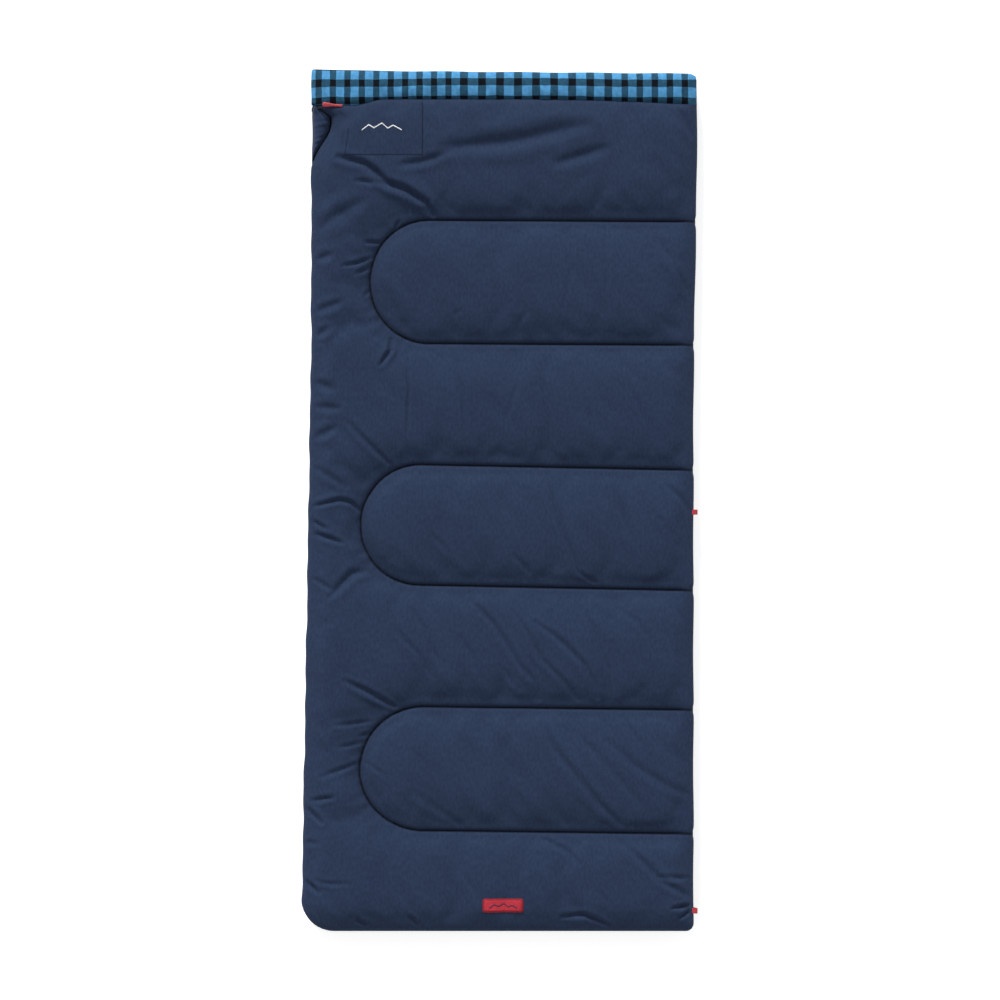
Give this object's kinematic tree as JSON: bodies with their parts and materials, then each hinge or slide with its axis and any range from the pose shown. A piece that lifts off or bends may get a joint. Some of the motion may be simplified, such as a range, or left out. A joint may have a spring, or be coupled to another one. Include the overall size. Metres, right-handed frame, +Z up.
{
  "type": "rectangular sleeping bag",
  "caption": "Rectangular quilted sleeping bag lying flat, with checked flannel lining and head cuff and an L-shaped zip down one side and the foot.",
  "frame": {"origin": "on the floor under the middle of the closed bag, its bounding box's bottom centre", "axes": "+X towards the closed side fold, +Y towards the head, +Z up through the two leaves"},
  "size_m": [0.9108, 1.99, 0.0756],
  "materials": {
    "shell_cotton": "matte",
    "check_flannel": "matte",
    "hollow_fibre": "matte",
    "zip_cloth": "matte",
    "zip_nylon": "satin",
    "slider_metal": "satin",
    "puller_web": "matte",
    "puller_rubber": "satin",
    "thread": "matte",
    "label_white": "matte",
    "label_red": "matte",
    "webbing_red": "matte"
  },
  "bodies": {
    "back_leaf": {"back_shell": "shell_cotton", "back_fold_web": "shell_cotton", "back_cuff": "check_flannel", "back_lining": "check_flannel", "back_fill": "hollow_fibre", "back_zip_tape": "zip_cloth", "back_zip_coil": "zip_nylon", "back_zip_top_stop": "slider_metal", "zip_retainer_box": "zip_nylon", "back_quilting": "thread", "care_label": "label_white"},
    "front_leaf": {"front_shell": "shell_cotton", "front_fold_web": "shell_cotton", "front_cuff": "check_flannel", "front_lining": "check_flannel", "front_fill": "hollow_fibre", "draft_tube_shell": "check_flannel", "draft_tube_fill": "hollow_fibre", "pocket_panel": "check_flannel", "pocket_hem": "shell_cotton", "front_zip_tape": "zip_cloth", "front_zip_coil": "zip_nylon", "front_zip_top_stop": "slider_metal", "zip_insertion_pin": "zip_nylon", "front_quilting": "thread", "pocket_stitching": "thread", "foot_label_base": "label_red", "foot_label_field": "label_red", "foot_label_emblem": "thread", "printed_mark": "label_white", "hanging_tab_middle": "webbing_red", "hanging_tab_foot": "webbing_red"},
    "head_slider": {"head_slider_body": "slider_metal"},
    "head_puller": {"head_puller_tab": "puller_web", "head_puller_grip": "puller_rubber"},
    "foot_slider": {"foot_slider_body": "slider_metal"},
    "foot_tab": {"foot_pull_tab": "slider_metal"}
  },
  "joints": [
    {"name": "front_leaf_fold", "type": "hinge", "parent": "back_leaf", "child": "front_leaf", "pos_m": [0.4565, 0, 0.035], "axis": [0, 1, 0], "range_deg": [0, 179]},
    {"name": "head_slider_travel", "type": "slide", "parent": "front_leaf", "child": "head_slider", "axis": [0, -1, 0], "range_m": [0, 1.8], "deforming": ["head_puller_tab"]},
    {"name": "head_puller_swing", "type": "hinge", "parent": "head_slider", "child": "head_puller", "pos_m": [-0.4328, 0.905, 0.0441], "axis": [0, -1, 0], "range_deg": [0, 150]},
    {"name": "foot_slider_travel", "type": "slide", "parent": "front_leaf", "child": "foot_slider", "axis": [-1, 0, 0], "range_m": [0, 0.73]},
    {"name": "foot_tab_swing", "type": "hinge", "parent": "foot_slider", "child": "foot_tab", "pos_m": [0.365, -0.983, 0.035], "axis": [0, 0, -1], "range_deg": [0, 170]}
  ]
}
